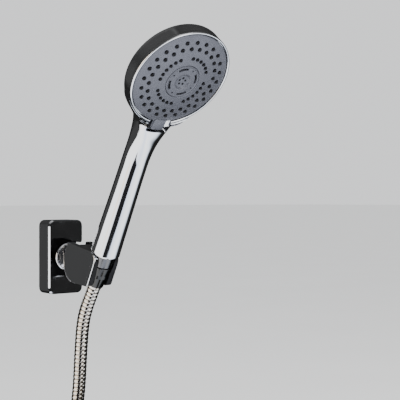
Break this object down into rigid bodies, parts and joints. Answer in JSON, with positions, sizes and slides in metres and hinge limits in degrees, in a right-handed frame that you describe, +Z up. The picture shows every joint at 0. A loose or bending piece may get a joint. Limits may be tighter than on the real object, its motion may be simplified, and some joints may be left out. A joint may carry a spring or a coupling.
{
  "type": "hand shower",
  "caption": "Hand shower with a round spray face and selector tab, resting in a tilting wall holder, with its metal spiral hose stored as a tied coil.",
  "frame": {"origin": "centre of the wall plate's back face, which lies on the wall", "axes": "+Y into the wall, +Z up, +X to the right when facing the wall"},
  "size_m": [0.1028, 0.2615, 0.5531],
  "materials": {
    "chrome": "polished chrome plate",
    "dark_chrome": "polished chrome plate that mirrors a dark room",
    "steel": "plain turned steel",
    "spray_face": "satin silver grey plastic",
    "rubber": "soft black silicone rubber",
    "white_plastic": "natural moulded plastic",
    "grey_plastic": "moulded grey plastic",
    "hose_metal": "bright spiral-wound metal",
    "hose_core": "metal spiral over a rubber core",
    "strap": "matt black rubber strap"
  },
  "bodies": {
    "wall_bracket": {"wall_base": "grey_plastic", "bracket_cover": "dark_chrome", "cover_grub_screw": "steel", "swivel_boss": "dark_chrome", "boss_screw_left": "steel", "boss_screw_right": "steel", "friction_washer_left": "white_plastic", "friction_washer_right": "white_plastic"},
    "holder": {"holder_fork": "chrome", "pivot_pin": "steel"},
    "handset": {"handset_shell": "chrome", "water_tube": "white_plastic", "inlet_connector": "chrome", "tube_oring": "rubber", "flow_regulator": "grey_plastic", "hose_washer": "rubber", "hose_ferrule": "hose_metal", "rim_ring": "chrome", "distributor": "white_plastic", "diverter_gasket": "rubber", "diverter_seal": "rubber", "detent_ball": "steel", "detent_spring": "steel"},
    "spray_face": {"face_plate": "spray_face", "nozzle_mat": "rubber", "jet_insert": "spray_face", "chamber_plate": "white_plastic", "diverter_disc": "grey_plastic", "centre_screw": "steel"},
    "hose_nut": {"cone_nut": "chrome"},
    "hose": {"hose_tube": "hose_core", "hose_coil": "hose_core", "hose_tail": "hose_core", "hose_tie": "strap", "end_ferrule": "hose_metal"},
    "outlet_nut": {"supply_nut": "chrome", "supply_washer": "rubber"}
  },
  "joints": [
    {"name": "holder_tilt", "type": "hinge", "parent": "wall_bracket", "child": "holder", "pos_m": [0, -0.062, -0.004], "axis": [1, 0, 0], "range_deg": [-20, 15]},
    {"name": "handset_lift", "type": "slide", "parent": "holder", "child": "handset", "axis": [0, -0.5, 0.866], "range_m": [0, 0.04]},
    {"name": "spray_selector", "type": "hinge", "parent": "handset", "child": "spray_face", "pos_m": [0, -0.2272, 0.17324], "axis": [0, -0.7501, -0.6613], "range_deg": [-5, 5]},
    {"name": "cone_nut_turn", "type": "hinge", "parent": "handset", "child": "hose_nut", "pos_m": [0, -0.0867, -0.01492], "axis": [0, -0.5, 0.866], "continuous": true},
    {"name": "hose_swing", "type": "hinge", "parent": "handset", "child": "hose", "pos_m": [0, -0.0788, -0.0286], "axis": [1, 0, 0], "range_deg": [-15, 20], "deforming": ["hose_tube"]},
    {"name": "outlet_nut_turn", "type": "hinge", "parent": "hose", "child": "outlet_nut", "pos_m": [0.028, -0.0476, -0.32], "axis": [0, 0, 1], "continuous": true}
  ],
  "couplings": [
    {"joint": "hose_swing", "follows": "holder_tilt", "ratio": -1}
  ]
}
